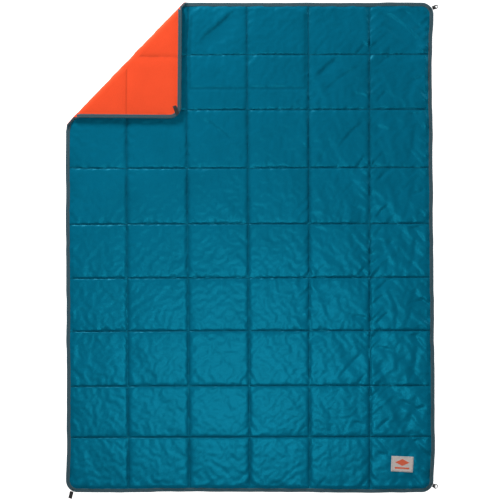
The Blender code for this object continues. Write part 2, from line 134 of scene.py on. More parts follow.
def grid_quads(nx, ny, flip=False):
    """The faces of a grid of nx by ny points. flip turns them over."""
    index = np.arange(nx * ny).reshape(nx, ny)
    ring = [index[:-1, :-1], index[1:, :-1], index[1:, 1:], index[:-1, 1:]]
    if flip:
        ring = [ring[0], ring[3], ring[2], ring[1]]
    return np.stack(ring, axis=-1).reshape(-1, 4)


# ---- the quilted surface


def from_corner(x, y):
    return np.hypot(HALF_X - np.abs(x), HALF_Y - np.abs(y))


def wander_x(y, k):
    """How far a lengthwise seam leaves its straight line."""
    return 0.0006 * noise(y * 3.1 + 7 * k, y * 0 + 3.3 * k, 51)


def wander_y(x, k):
    """How far a crosswise seam leaves its straight line."""
    return 0.0006 * noise(x * 3.3 + 5 * k, x * 0 + 1.7 * k, 53)


def rim_distance(x, y):
    """How far inside the cloth's edge a flat point is, rounded corners included."""
    past_x = np.maximum(np.abs(x) - HALF_X + CORNER, 0)
    past_y = np.maximum(np.abs(y) - HALF_Y + CORNER, 0)
    side = np.minimum(HALF_X - np.abs(x), HALF_Y - np.abs(y))
    return np.where((past_x > 0) & (past_y > 0), CORNER - np.hypot(past_x, past_y), side)


def seam_distances(x, y):
    """For flat points: distance to the nearest lengthwise and crosswise seam or edge."""
    near = []
    for across, along, count, start, pitch, wander in (
        (x, y, COLUMNS, -HALF_X, PITCH_X, wander_x),
        (y, x, ROWS, HALF_Y, -PITCH_Y, wander_y),
    ):
        nearest = np.full(x.shape, 9.0)
        for k in range(count + 1):
            inner = 0 < k < count
            gap = np.abs(across - (start + k * pitch) - (wander(along, k) if inner else 0.0))
            gap = gap if inner else np.maximum(gap - BINDING - BINDING_GAP, 0)
            nearest = np.minimum(nearest, gap)
        near.append(nearest)
    near_x, near_y = near
    # the binding follows the rounded corners
    to_binding = np.maximum(rim_distance(x, y) - BINDING - BINDING_GAP, 0)
    near_corner = from_corner(x, y) < 2 * CORNER
    near_x = np.where(near_corner, np.minimum(near_x, to_binding), near_x)
    near_y = np.where(near_corner, np.minimum(near_y, to_binding), near_y)
    return near_x, near_y


def along_line(x, y, start, end):
    """For flat points: how far along a line and how far to its left, and the line's length."""
    start, end = np.array(start), np.array(end)
    d = end - start
    length = np.linalg.norm(d)
    d = d / length
    along = (x - start[0]) * d[0] + (y - start[1]) * d[1]
    left = (x - start[0]) * -d[1] + (y - start[1]) * d[0]
    return along, left, length


def crease(x, y, start, end, width, depth):
    """A ridge along a line that fades at both ends."""
    t, s, length = along_line(x, y, start, end)
    s = s + 0.006 * noise(t * 14, t * 0 + 4.0, 91)
    fade = smooth(0, 0.3 * length, t) * smooth(0, 0.3 * length, length - t)
    return depth * fade * np.exp(-np.abs(s / width) ** 2)


def tuck(x, y, start, end, width, depth):
    """A one-sided valley: it drops sharply on its left, seen from start to end, and eases back."""
    t, left, length = along_line(x, y, start, end)
    s = -left
    s = s + 0.005 * noise(t * 16, t * 0 + 7.0, 93) + 0.10 * t * (1 - t / length)
    fade = smooth(0, 0.35 * length, t) * smooth(0, 0.25 * length, length - t)
    drop = smooth(-0.32 * width, 0.26 * width, s) * np.exp(-np.maximum(s, 0) / width)
    return -depth * fade * drop


def quilt_height(x, y):
    """How full the quilt is at a flat point, from 0 on a seam to about 1, with its wrinkles."""
    near_x, near_y = seam_distances(x, y)
    side = np.minimum(x + HALF_X, HALF_X - x)
    crown_x = 0.55 * (1 - np.exp(-(near_x / 0.0058) ** 1.5)) + 0.45 * (1 - np.exp(-near_x / 0.020))
    crown_y = 0.62 * (1 - np.exp(-(near_y / 0.0034) ** 1.4)) + 0.38 * (1 - np.exp(-near_y / 0.016))
    full = crown_x * crown_y
    # lofted unevenly from cell to cell
    full = full * (0.70 + 0.11 * noise(x * 5 + 3, y * 5, 3))
    # gathers where a thread draws the cloth in: short ridges across each seam
    busy = 0.45 + 0.55 * smooth(0.10, 0.62, x)
    busy_y = 0.6 + 0.4 * noise(x * 4, y * 4, 9)
    lean = 0.9 * near_x * np.where(noise(x * 4.3, y * 2.1, 32) > 0, 1.0, -1.0)
    gather_x = np.exp(-near_x / 0.030) * layered(x * 9, (y + lean) * 46, 4, 2)
    gather_y = np.exp(-near_y / 0.017) * layered(x * 50, y * 9, 6, 2)
    full = full + (0.85 * gather_x * busy**1.5 * smooth(0, 0.006, near_x)) * busy_y
    full = full + 0.36 * gather_y * smooth(0, 0.003, near_y) * busy_y
    # slack that runs aslant through the cells
    slant = layered((x + 0.6 * y) * 13, (y - 0.5 * x) * 5, 12, 3)
    full = full + 0.27 * slant * crown_x * crown_y * (0.15 + busy**1.5)
    # where the binding is sewn the edge is drawn into short waves
    edge = np.minimum(side, np.minimum(y + HALF_Y, HALF_Y - y))
    full = full + 0.16 * np.exp(-((edge - 0.022) / 0.016) ** 2) * layered(
        (x + y) * 24, (x - y) * 24, 24, 2
    )
    return full * smooth(0, 0.005, rim_distance(x, y) - BINDING - BINDING_GAP)


CREASE_DEPTH = 1.25  # of every crease and tuck below, against the depth it is given

# (start, end, width, depth) of the long creases on the face, in metres and in shares of the loft
CREASES = [
    ((-0.215, 0.760), (-0.045, 0.915), 0.013, 0.42),
    ((-0.180, 0.745), (-0.030, 0.850), 0.030, -0.22),
    ((0.495, 0.925), (0.665, 0.780), 0.014, 0.50),
    ((0.520, 0.900), (0.670, 0.740), 0.022, -0.30),
    ((0.480, 0.850), (0.640, 0.730), 0.012, 0.30),
    ((0.585, -0.590), (0.665, -0.700), 0.012, 0.40),
    ((0.560, -0.620), (0.640, -0.760), 0.016, -0.25),
    ((0.480, -0.720), (0.540, -0.830), 0.012, 0.28),
]
TUCKS = [
    ((-0.232, 0.748), (-0.030, 0.905), 0.070, 0.66),
    ((0.500, 0.920), (0.672, 0.752), 0.034, 0.85),
    ((0.490, 0.862), (0.668, 0.722), 0.030, 0.60),
    ((0.575, 0.922), (0.674, 0.800), 0.026, 0.62),
    ((0.246, 0.628), (0.356, 0.716), 0.040, 0.66),
    ((0.262, 0.560), (0.440, 0.690), 0.026, 0.30),
    ((-0.130, 0.690), (-0.020, 0.560), 0.022, 0.40),
    ((-0.190, 0.500), (-0.060, 0.400), 0.024, 0.52),
    ((0.330, 0.370), (0.450, 0.480), 0.022, 0.32),
    ((0.560, -0.560), (0.665, -0.640), 0.024, 0.50),
    ((0.470, -0.700), (0.545, -0.800), 0.024, 0.46),
    ((0.330, -0.500), (0.445, -0.390), 0.022, 0.26),
]


def row_tucks(low, lean):
    """The short tucks beside the right-hand seams in one row of cells."""
    return [
        ((0.478, low + 0.045), (0.535, low + 0.045 + lean), 0.012, 0.40),
        ((0.480, low - 0.030), (0.560, low - 0.010 - lean), 0.014, 0.34),
        ((0.605, low + 0.060 - lean), (0.672, low + 0.010), 0.014, 0.52),
        ((0.620, low - 0.030 + lean), (0.670, low - 0.060), 0.012, 0.46),
        ((0.395, low + 0.040 + lean), (0.452, low + 0.070), 0.013, 0.34),
        ((0.245, low + 0.020), (0.300, low + 0.040 - lean), 0.012, 0.22),
    ]


def row_creases(top, k):
    """The slack that hangs through the right-hand cells of one row."""
    return [
        ((0.500 + 0.012 * (k % 3), top), (0.560, top - 0.15), 0.012, 0.22),
        ((0.640, top - 0.01), (0.600 + 0.02 * (k % 2), top - 0.17), 0.013, -0.2),
        ((0.250, top - 0.02), (0.300, top - 0.16), 0.016, 0.16),
    ]


def face_creases(x, y):
    """The creases that lie on the face, as a share of the loft."""
    total = 0.0
    for line in CREASES:
        total = total + crease(x, y, *line)
    for line in TUCKS:
        total = total + tuck(x, y, *line)
    for k in range(ROWS):
        for line in row_tucks(0.700 - 0.2065 * k, 0.05 if k % 2 else -0.04):
            total = total + tuck(x, y, *line)
    for k in range(7):
        for line in row_creases(0.70 - 0.205 * k, k):
            total = total + crease(x, y, *line)
    return total


def below(z, ceiling):
    """z, eased under a ceiling."""
    ease = 0.0006
    return ceiling - ease * np.logaddexp(0, (ceiling - z) / ease)


FLAP_REACH = (0.335, 0.30)  # from the fold to the turned corner's tip, and where its press is full
FLAP_GAP = 0.0005


def under_flap(x, y):
    """1 under the turned corner, 0 clear of it."""
    return smooth(*FLAP_REACH, np.abs(past_line(x, y, AXIS_A, AXIS_OUT)))


def ceiling_at(under):
    return CEILING - under * (CEILING - FOLD_Z + FLAP_GAP)


def pocket_distance(x, y):
    """Distance to the stitch line that holds the pocket on the back: two sides and its foot."""
    half, foot, head = POCKET_HALF - POCKET_INSET, POCKET_FOOT + POCKET_INSET, HALF_Y - 0.05
    to_side = np.hypot(np.abs(np.abs(x) - half), np.maximum(np.maximum(foot - y, y - head), 0))
    to_foot = np.hypot(y - foot, np.maximum(np.abs(x) - half, 0))
    return np.minimum(to_side, to_foot)


def over_pocket(x, y):
    inside_x = smooth(0, 0.02, 0.236 - np.abs(x))
    return inside_x * smooth(0, 0.02, y - (LENGTH / 2 - 0.350))


# where the foot's left loop comes down when the foot third is folded over
LOOP_PRESS, PRESS_DEPTH, PRESS_REACH = (-0.676, 0.324), 0.0020, 0.028


def top_z(x, y):
    near = np.minimum(*seam_distances(x, y))
    full = quilt_height(x, y) + CREASE_DEPTH * face_creases(x, y) * smooth(0, 0.012, near)
    full = full * (1 - 0.42 * np.exp(-((pocket_distance(x, y) / 0.0055) ** 1.3)))
    z = SEAM_TOP + (LOFT + 0.0006 - SEAM_TOP) * np.maximum(full, -0.12)
    under = under_flap(x, y)
    z = z - under * 0.10 * (z - SEAM_TOP)
    from_loop = (x - LOOP_PRESS[0]) ** 2 + (y - LOOP_PRESS[1]) ** 2
    z = z - PRESS_DEPTH * np.exp(-(from_loop / PRESS_REACH**2))
    return below(z, ceiling_at(under))


def low_z(x, y):
    """The back, which the floor presses level under the middle of each cell."""
    near_x, near_y = seam_distances(x, y)
    full = (1 - np.exp(-(near_x / 0.014))) * (1 - np.exp(-(near_y / 0.012)))
    full = full * (1 - over_pocket(x, y))
    ripple = 0.16 * layered(x * 30, y * 30, 77, 2) * np.exp(-np.minimum(near_x, near_y) / 0.02)
    return np.maximum(SEAM_LOW * (1 - full * 1.02 + ripple * full), 0.00004)


# ---- sheets


def rounded(x, y, inset=0.0):
    """Pull flat points that lie past the rounded corners onto the arc; also say which did."""
    radius = CORNER - inset
    cx, cy = HALF_X - CORNER, HALF_Y - CORNER
    dx, dy = np.abs(x) - cx, np.abs(y) - cy
    past = (dx > 0) & (dy > 0)
    reach = np.hypot(dx, dy)
    over = past & (reach > radius)
    share = np.where(over, radius / np.maximum(reach, 1e-9), 1.0)
    new_x = np.where(past, np.sign(x) * (cx + dx * share), x)
    new_y = np.where(past, np.sign(y) * (cy + dy * share), y)
    return new_x, new_y, over


def cell_lines(start, end, pitch, step):
    """Grid lines across whole cells, closer together beside each seam."""
    near = np.array([0.0, 0.0014, 0.0032, 0.0056, 0.0088])
    middle = np.linspace(0.0088, pitch - 0.0088, max(3, int((pitch - 0.0176) / step)))[1:-1]
    cell = np.concatenate([near, middle, pitch - near[:0:-1]])
    count = int(round((end - start) / pitch))
    lines = [start + k * pitch + cell for k in range(count)]
    return np.concatenate([*lines, [end]])


def grid_sheet(step, keep, height, inset, box=None):
    """Points, faces and UVs of a sheet on a grid whose lines fall on the seams.

    keep lists its cuts, each as a point on the cut and the direction out of the sheet.
    """
    x0, x1, y0, y1 = box or (-HALF_X, HALF_X, -HALF_Y, HALF_Y)
    lines_x = cell_lines(x0, x1, PITCH_X, step[0])
    lines_y = cell_lines(y0, y1, PITCH_Y, step[1])
    gx, gy = np.meshgrid(lines_x, lines_y, indexing="ij")
    x, y = gx.ravel(), gy.ravel()
    x = np.clip(x, -HALF_X + inset, HALF_X - inset)
    y = np.clip(y, -HALF_Y + inset, HALF_Y - inset)
    x, y, gone = rounded(x, y, inset)
    for point, outward in keep:
        past = past_line(x, y, point, outward)
        out = past > 0
        x = np.where(out, x - past * outward[0], x)
        y = np.where(out, y - past * outward[1], y)
        gone = gone | out
    quads = grid_quads(len(lines_x), len(lines_y))
    quads = quads[~gone[quads].all(axis=1)]
    corner = np.stack([x[quads], y[quads]], axis=-1)
    ring = np.roll(corner, -1, axis=1)
    area = 0.5 * np.abs((corner[..., 0] * ring[..., 1] - ring[..., 0] * corner[..., 1]).sum(axis=1))
    quads = quads[area > 2e-8]
    used = np.unique(quads)
    renumber = np.full(x.size, -1)
    renumber[used] = np.arange(used.size)
    x, y = x[used], y[used]
    return np.stack([x, y, height(x, y)], axis=1), renumber[quads], np.stack([x, y], axis=1)


def to_row(points):
    """From the blanket's own flat frame to the row frame."""
    moved = np.array(points, float)
    moved[:, :2] += SHIFT
    return moved


def mirrored(flat):
    """Flat points reflected in the fold axis."""
    rel = np.asarray(flat, float) - AXIS_A
    return AXIS_A + np.outer(rel @ AXIS_DIR, AXIS_DIR) - np.outer(rel @ AXIS_OUT, AXIS_OUT)


def turned(points):
    """Flat-frame points of the flap, carried half a turn about the fold axis."""
    return np.column_stack([mirrored(points[:, :2]), 2 * FOLD_Z - points[:, 2]])


def groove(flat):
    """How deep in the painted shade of a seam or of the pocket's stitch line a flat point is, from
    0 to 1.
    """
    near_x, near_y = seam_distances(flat[:, 0], flat[:, 1])
    patchy = 0.72 + 0.28 * noise(flat[:, 0] * 9, flat[:, 1] * 55, 45)
    inner_x = patchy * np.exp(-((near_x / 0.0080) ** 2)) * (HALF_X - np.abs(flat[:, 0]) > 0.05)
    inner_y = np.exp(-((near_y / 0.0032) ** 2)) * (HALF_Y - np.abs(flat[:, 1]) > 0.05)
    along_pocket = 0.80 * np.exp(-((pocket_distance(flat[:, 0], flat[:, 1]) / 0.0040) ** 2))
    return np.maximum(np.maximum(inner_x * 0.85, inner_y), along_pocket)


def shade_seams(piece, flat, share):
    # painted shade: how far the cloth's colour is darkened in each seam's groove
    layer = piece.data.attributes.new("seam_shade", "FLOAT", "POINT")
    layer.data.foreach_set("value", (groove(flat) * share).astype(np.float32))


def make_mesh(name, points, faces, uv=None, material=None, smooth_faces=True):
    """A named piece, with uv given by vertex."""
    mesh = bpy.data.meshes.new(name)
    mesh.from_pydata([tuple(p) for p in points], [], [tuple(int(i) for i in f) for f in faces])
    mesh.update()
    if uv is not None:
        layer = mesh.uv_layers.new(name="UVMap")
        loops = np.zeros(len(mesh.loops), np.int32)
        mesh.loops.foreach_get("vertex_index", loops)
        layer.data.foreach_set("uv", np.asarray(uv, np.float32)[loops].ravel())
    if smooth_faces:
        mesh.polygons.foreach_set("use_smooth", [True] * len(mesh.polygons))
    thing = bpy.data.objects.new(name, mesh)
    bpy.context.scene.collection.objects.link(thing)
    if material:
        mesh.materials.append(material)
    return thing


# ---- materials


class Nodes:
    """Short calls for building a material's nodes."""

    def __init__(self, name, colour, roughness):
        self.material = bpy.data.materials.new(name)
        self.material.use_nodes = True
        self.tree = self.material.node_tree
        self.shader = self.tree.nodes["Principled BSDF"]
        self.shade(Base_Color=(*colour, 1), Roughness=roughness)

    def feed(self, node, inputs):
        """Set a node's inputs, or link them to other nodes' outputs."""
        for key, value in inputs.items():
            if isinstance(value, bpy.types.NodeSocket):
                self.tree.links.new(value, node.inputs[key])
            elif value is not None:
                node.inputs[key].default_value = value

    def node(self, kind, inputs=None, **settings):
        made = self.tree.nodes.new(kind)
        for key, value in settings.items():
            setattr(made, key, value)
        self.feed(made, inputs or {})
        return made

    def shade(self, **inputs):
        """Feed the shader, its inputs named with underscores for spaces."""
        self.feed(self.shader, {key.replace("_", " "): value for key, value in inputs.items()})

    def math(self, operation, a, b=None):
        return self.node("ShaderNodeMath", {0: a, 1: b}, operation=operation).outputs[0]

    def wave(self, axis, pitch):
        """A sine that repeats at a pitch in metres."""
        return self.math("SINE", self.math("MULTIPLY", axis, 2 * math.pi / pitch))

    def noise(self, vector, scale, detail=3.0, roughness=0.55):
        inputs = {"Vector": vector, "Scale": scale, "Detail": detail, "Roughness": roughness}
        return self.node("ShaderNodeTexNoise", inputs).outputs["Fac"]

    def uv(self):
        return self.node("ShaderNodeUVMap", uv_map="UVMap").outputs["UV"]

    def split(self, vector):
        return self.node("ShaderNodeSeparateXYZ", {0: vector}).outputs

    def mix(self, factor, a, b):
        made = self.node("ShaderNodeMix", data_type="RGBA")
        self.feed(made, {"Factor": factor, "A": a, "B": b})
        return made.outputs["Result"]

    def ramp(self, factor, stops):
        made = self.node("ShaderNodeValToRGB", {0: factor})
        while len(made.color_ramp.elements) < len(stops):
            made.color_ramp.elements.new(0.5)
        for element, (place, colour) in zip(made.color_ramp.elements, stops):
            element.position = place
            element.color = (*colour, 1)
        return made.outputs[0]

    def bump(self, height, strength, distance, below=None):
        inputs = {"Strength": strength, "Distance": distance, "Height": height, "Normal": below}
        return self.node("ShaderNodeBump", inputs).outputs["Normal"]


def shades(colour, *factors):
    return [tuple(min(1.0, c * f) for c in colour) for f in factors]


def cloth_material(name, colour, roughness, sheen, tint, pitch=0.0011):
    """Plain weave in the cloth's own directions, with painted shade: darker where the seam_shade
    attribute says.
    """
    nodes = Nodes(name, colour, roughness)
    uv = nodes.uv()
    axes = nodes.split(uv)
    woven = nodes.math("MULTIPLY", nodes.wave(axes[0], pitch), nodes.wave(axes[1], pitch))
    slub = nodes.noise(uv, 260, 2.0)
    cloud = nodes.noise(uv, 5.5, 4.0)
    tone = nodes.math("MULTIPLY", woven, 0.10)
    tone = nodes.math("ADD", tone, nodes.math("MULTIPLY", slub, 0.30))
    tone = nodes.math("ADD", tone, nodes.math("MULTIPLY", cloud, 0.55))
    dark, mid, light = shades(colour, 0.84, 1.0, 1.16)
    plain = nodes.ramp(tone, [(0.22, dark), (0.43, mid), (0.68, light)])
    shade = nodes.node("ShaderNodeAttribute", attribute_name="seam_shade").outputs["Fac"]
    fine = nodes.bump(woven, 0.16, 0.00012)
    nodes.shade(
        # painted shade: the colour darkens toward 22% of the cloth's own where seam_shade is high
        Base_Color=nodes.mix(shade, plain, (*shades(colour, 0.22)[0], 1)),
        Roughness=nodes.math("ADD", nodes.math("MULTIPLY", slub, 0.16), roughness - 0.08),
        Normal=nodes.bump(nodes.noise(uv, 34, 5.0, 0.6), 0.30, 0.0022, fine),
        Sheen_Weight=sheen,
        Sheen_Roughness=0.45,
        Sheen_Tint=(*tint, 1),
        Specular_IOR_Level=0.5,
        Specular_Tint=(*tint, 1),
    )
    return nodes.material


def tape_material(name, colour, pitch=0.0014):
    """Fine ribs across the tape."""
    nodes = Nodes(name, colour, 0.86)
    uv = nodes.uv()
    ribs = nodes.wave(nodes.split(uv)[0], pitch)
    tone = nodes.math("ADD", nodes.math("MULTIPLY", ribs, 0.14), nodes.noise(uv, 420, 3.0))
    dark, mid, light = shades(colour, 0.6, 1.0, 1.5)
    nodes.shade(
        Base_Color=nodes.ramp(tone, [(0.30, dark), (0.52, mid), (0.78, light)]),
        Normal=nodes.bump(tone, 0.5, 0.0003),
        Sheen_Weight=0.25,
    )
    return nodes.material


def thread_material(name, colour):
    nodes = Nodes(name, colour, 0.62)
    place = nodes.node("ShaderNodeTexCoord").outputs["Object"]
    fuzz = nodes.noise(place, 900, 2.0)
    dark, light = shades(colour, 0.7, 1.35)
    nodes.shade(
        Base_Color=nodes.ramp(fuzz, [(0.3, dark), (0.7, light)]),
        Normal=nodes.bump(fuzz, 0.4, 0.0002),
    )
    return nodes.material


def webbing_material(name, colour, pitch=0.0018):
    nodes = Nodes(name, colour, 0.7)
    place = nodes.node("ShaderNodeTexCoord").outputs["Object"]
    axes = nodes.split(place)
    ribs = nodes.math("MULTIPLY", nodes.wave(axes[0], pitch), nodes.wave(axes[1], pitch))
    tone = nodes.math("ADD", nodes.math("MULTIPLY", ribs, 0.25), nodes.noise(place, 700, 2.0))
    dark, light = shades(colour, 0.6, 1.9)
    nodes.shade(
        Base_Color=nodes.ramp(tone, [(0.3, dark), (0.8, light)]),
        Normal=nodes.bump(tone, 0.6, 0.0005),
        Sheen_Weight=0.2,
    )
    return nodes.material


TEAL = cloth_material("teal_cloth", (0.0008, 0.138, 0.236), 0.39, 0.06, (0.02, 0.70, 1.0))
ORANGE = cloth_material("orange_cloth", (1.0, 0.088, 0.027), 0.50, 0.06, (1.0, 0.35, 0.2))
TAPE = tape_material("slate_tape", (0.034, 0.090, 0.115))
TEAL_THREAD = thread_material("teal_thread", (0.003, 0.060, 0.105))
ORANGE_THREAD = thread_material("orange_thread", (0.62, 0.060, 0.018))
SLATE_THREAD = thread_material("slate_thread", (0.022, 0.046, 0.062))
WEBBING = webbing_material("black_webbing", (0.011, 0.011, 0.012))


# ---- how the flat cloth lies


def drift(flat):
    """How far the cloth lies from its true grid: seams drift a few millimetres along the quilt."""
    x, y = flat[:, 0], flat[:, 1]
    columns = -HALF_X + PITCH_X * np.arange(COLUMNS + 1)
    head = np.interp(x, columns, [-0.002, -0.0065, -0.0095, -0.0103, -0.0088, -0.0088, -0.007])
    foot = np.interp(x, columns, [0.004, 0.0027, 0.0027, 0.0011, -0.0038, -0.0065, 0.0065])
    rows = HALF_Y - PITCH_Y * np.arange(ROWS + 1)[::-1]
    dy = np.interp(y, rows, [0.0, 0.001, -0.011, -0.008, -0.013, -0.014, -0.008, 0.007, 0.010, 0.0])
    share = np.clip(y / CLOTH_L + 0.5, 0, 1)
    dx = foot + (head - foot) * share
    dy = dy + 0.0045 * (x / CLOTH_W) * smooth(HALF_Y, HALF_Y - 0.15, np.abs(y))
    inside = past_line(x, y, EDGE_A, -EDGE_OUT)
    mask = smooth(0.03, 0.18, inside) * smooth(0.05, 0.16, from_corner(x, y))
    return np.stack([dx * mask, dy * mask], axis=1)


def edge_wave(flat):
    """Slow waves along the edges, where the binding has drawn the cloth in."""
    x, y = flat[:, 0], flat[:, 1]
    wave_x = 0.0013 * noise(y * 9, y * 0 + 2.2, 61)
    wave_x = wave_x + 0.0007 * noise(y * 26, y * 0, 62)
    wave_y = 0.0013 * noise(x * 9, x * 0 + 5.2, 63)
    wave_y = wave_y + 0.0007 * noise(x * 26, x * 0, 64)
    wave_y = wave_y + 0.0042 * np.cos(x / CLOTH_W * 2 * math.pi + 0.4) * (y < 0) * 0.5
    inside = past_line(x, y, EDGE_A, -EDGE_OUT)
    calm = smooth(0.03, 0.12, inside) * smooth(0.05, 0.12, from_corner(x, y))
    near_x = np.exp(-(HALF_X - np.abs(x)) / 0.03) * calm
    near_y = np.exp(-(HALF_Y - np.abs(y)) / 0.03) * calm
    return np.stack([wave_x * near_x, wave_y * near_y], axis=1)


def lay(points):
    """Flat points (x, y, z) of the main quilt, as they lie in the row frame."""
    moved = np.array(points, float)
    flat = moved[:, :2].copy()
    moved[:, :2] += drift(flat) + edge_wave(flat)
    return to_row(moved)


def lay_flap(points):
    return to_row(turned(points))


# ---- the two shells

SETBACK = 0.020
CUT = EDGE_A - SETBACK * EDGE_OUT


FLAP_CUT_A, FLAP_CUT_B = mirrored(np.array([CUT, CUT + EDGE_DIR]))
FLAP_CUT_DIR = unit(FLAP_CUT_B - FLAP_CUT_A)
FLAP_CUT_IN = np.array([FLAP_CUT_DIR[1], -FLAP_CUT_DIR[0]])
if (HEAD_LEFT - FLAP_CUT_A) @ FLAP_CUT_IN > 0:
    FLAP_CUT_IN = -FLAP_CUT_IN

MAIN_KEEP = [(CUT, EDGE_OUT)]
FLAP_KEEP = [(FLAP_CUT_A, FLAP_CUT_IN)]
FLAP_BOX = (-HALF_X, -HALF_X + 2 * PITCH_X, HALF_Y - 3 * PITCH_Y, HALF_Y)
FINE, COARSE = (PITCH_X / 42, PITCH_Y / 38), (PITCH_X / 26, PITCH_Y / 24)


EDGE_INSET = 0.001  # the shells stop this far inside the cloth's edge
# how strong the painted seam shade is on the face and on the back
FACE_SHADE, BACK_SHADE = 0.55, 0.28


def shell(name, material, sheet, placed, flip, shade):
    points, quads, uv = sheet
    if flip:
        quads = quads[:, ::-1]
    piece = make_mesh(name, placed(points), quads, uv, material)
    shade_seams(piece, uv, shade)
    return piece


def bend_at_foot(piece):
    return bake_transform(piece)


def bend_at_corner(piece):
    """Bakes the piece's transform into its mesh."""
    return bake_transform(piece)


SIM_FRAMES = 18
MOVE_LIMIT = 0.006
CLOTH_SETTINGS = {
    "quality": 5,
    "mass": 0.15,
    "tension_stiffness": 15,
    "compression_stiffness": 15,
    "shear_stiffness": 3,
    "bending_stiffness": 0.05,
    "air_damping": 4,
    "vertex_group_mass": "pin",
    "pin_stiffness": 1.0,
    "vertex_group_shrink": "slack",
    "shrink_min": -0.004,
    "shrink_max": -0.075,
}


def gathered(step, keep):
    """The face shell, with slack cloth drawn in by its seams: simulated in the flat, seams held."""
    points, quads, uv = grid_sheet(step, keep, top_z, EDGE_INSET)
    x, y = points[:, 0], points[:, 1]
    held = np.minimum(*seam_distances(x, y))
    pin = np.where(held < 0.0020, 1.0, 0.0)
    for point, outward in keep:
        pin = np.where((points[:, :2] - point) @ outward > -0.004, 1.0, pin)
    soft = np.maximum(pin, 0.12)
    slack = 0.10 + 0.90 * smooth(-0.25, 0.55, x)
    slack = np.maximum(slack, 0.8 * smooth(0.42, 0.56, y) * smooth(-0.5, -0.2, x))
    slack = np.clip(slack * (0.75 + 0.5 * noise(x * 4, y * 4, 5)), 0, 1)
    rough = points.copy()
    rough[:, 2] += (1 - pin) * 0.0006 * layered(x * 60, y * 60, 21, 2)
    piece = make_mesh("gathering", rough, quads, uv)
    for group_name, weights in (("pin", soft), ("slack", slack)):
        group = piece.vertex_groups.new(name=group_name)
        for level in np.unique(np.round(weights, 2)):
            chosen = np.nonzero(np.round(weights, 2) == level)[0]
            group.add([int(i) for i in chosen], float(level), "REPLACE")
    cloth = piece.modifiers.new("cloth", "CLOTH")
    for key, value in CLOTH_SETTINGS.items():
        setattr(cloth.settings, key, value)
    cloth.settings.effector_weights.gravity = 0
    cloth.collision_settings.use_collision = False
    for step_number in range(1, SIM_FRAMES + 1):
        bpy.context.scene.frame_set(step_number)
    shaped = piece.evaluated_get(bpy.context.evaluated_depsgraph_get())
    result = np.zeros(len(points) * 3, np.float32)
    shaped.data.vertices.foreach_get("co", result)
    result = result.reshape(-1, 3).astype(float)
    bpy.data.objects.remove(piece)
    bpy.context.scene.frame_set(1)
    moved = result - points
    result = points + np.clip(moved, -MOVE_LIMIT, MOVE_LIMIT)
    ceiling = ceiling_at(under_flap(result[:, 0], result[:, 1]))
    floor_z = np.minimum(points[:, 2], SEAM_TOP + 0.0005)
    result[:, 2] = np.maximum(below(result[:, 2], ceiling), floor_z)
    return result, quads, uv


face = shell("face_cloth", TEAL, gathered(FINE, MAIN_KEEP), lay, False, FACE_SHADE)
back_sheet = grid_sheet(COARSE, MAIN_KEEP, low_z, EDGE_INSET)
back = shell("back_cloth", ORANGE, back_sheet, lay, True, BACK_SHADE)
face_flap_sheet = grid_sheet(FINE, FLAP_KEEP, top_z, EDGE_INSET, FLAP_BOX)
face_flap = shell("face_cloth_flap", TEAL, face_flap_sheet, lay_flap, False, FACE_SHADE)
back_flap_sheet = grid_sheet(FINE, FLAP_KEEP, low_z, EDGE_INSET, FLAP_BOX)
back_flap = shell("back_cloth_flap", ORANGE, back_flap_sheet, lay_flap, True, BACK_SHADE)


# ---- round the corner fold


def hits(line, direction):
    """How far along a line it meets the left side and the head edge of the cloth."""
    side = (-HALF_X + EDGE_INSET - line[0]) / direction[0]
    head = (HALF_Y - EDGE_INSET - line[1]) / direction[1]
    return side, head


MAIN_S = hits(CUT, EDGE_DIR)
FLAP_S = hits(FLAP_CUT_A, FLAP_CUT_DIR)


def fold_strip(name, material, bulge, height, flip, nose, slant, half=9, step=0.006):
    """A shell where it goes round the fold, from the main quilt's cut edge to the flap's.

    Its lower half lies on the main quilt and its upper half on the turned flap. Between them
    one row of faces spans the nose, twice as high as nose.
    The cloth's edges cross the fold aslant: slant is the share of that run each half has made
    where it meets the nose.
    """
    along = int((MAIN_S[1] - MAIN_S[0]) / step)
    across = 2 * half + 1
    turn = np.concatenate([np.linspace(0, 0.5, half + 1), np.linspace(0.5, 1, half + 1)])
    share = np.concatenate([np.linspace(0, 0.46, half + 1), np.linspace(0.54, 1, half + 1)])
    f = np.repeat(turn[:, None], along + 1, axis=1)
    t = np.repeat(np.linspace(0, 1, along + 1)[None, :], across + 1, axis=0)
    lower = (np.arange(across + 1) <= half)[:, None]
    s_main = MAIN_S[0] + t * (MAIN_S[1] - MAIN_S[0])
    s_flap = FLAP_S[0] + t * (FLAP_S[1] - FLAP_S[0])
    main_flat = CUT + s_main[..., None] * EDGE_DIR
    flap_flat = FLAP_CUT_A + s_flap[..., None] * FLAP_CUT_DIR
    gone = slant * np.sin(math.pi * f)
    plan_s = s_main + np.where(lower, gone, 1 - gone) * (s_flap - s_main)
    z0 = height(main_flat[..., 0], main_flat[..., 1])
    z1 = 2 * FOLD_Z - height(flap_flat[..., 0], flap_flat[..., 1])
    pinch = 1 + 0.05 * layered(plan_s * 38, f * 2.0, 5, 2) * np.sin(math.pi * f)
    out = bulge * np.sin(math.pi * f) * pinch
    plan = CUT + plan_s[..., None] * EDGE_DIR + out[..., None] * EDGE_OUT
    rise = z0 + (FOLD_Z - nose - z0) * (1 - np.cos(math.pi * f))
    fall = z1 + (FOLD_Z + nose - z1) * (1 + np.cos(math.pi * f))
    z = np.where(lower, rise, fall)
    points = np.concatenate([plan, z[..., None]], axis=-1).reshape(-1, 3)
    uv = (main_flat + share[:, None, None] * (flap_flat - main_flat)).reshape(-1, 2)
    quads = grid_quads(across + 1, along + 1)
    if flip:
        quads = quads[:, ::-1]
    return make_mesh(name, to_row(points), quads, uv, material)


back_fold = fold_strip("back_cloth_fold", ORANGE, SETBACK, low_z, True, 0.0062, 0.26)
face_fold = fold_strip("face_cloth_fold", TEAL, SETBACK - 0.0105, top_z, False, 0.0028, 0.18)


# ---- edge binding


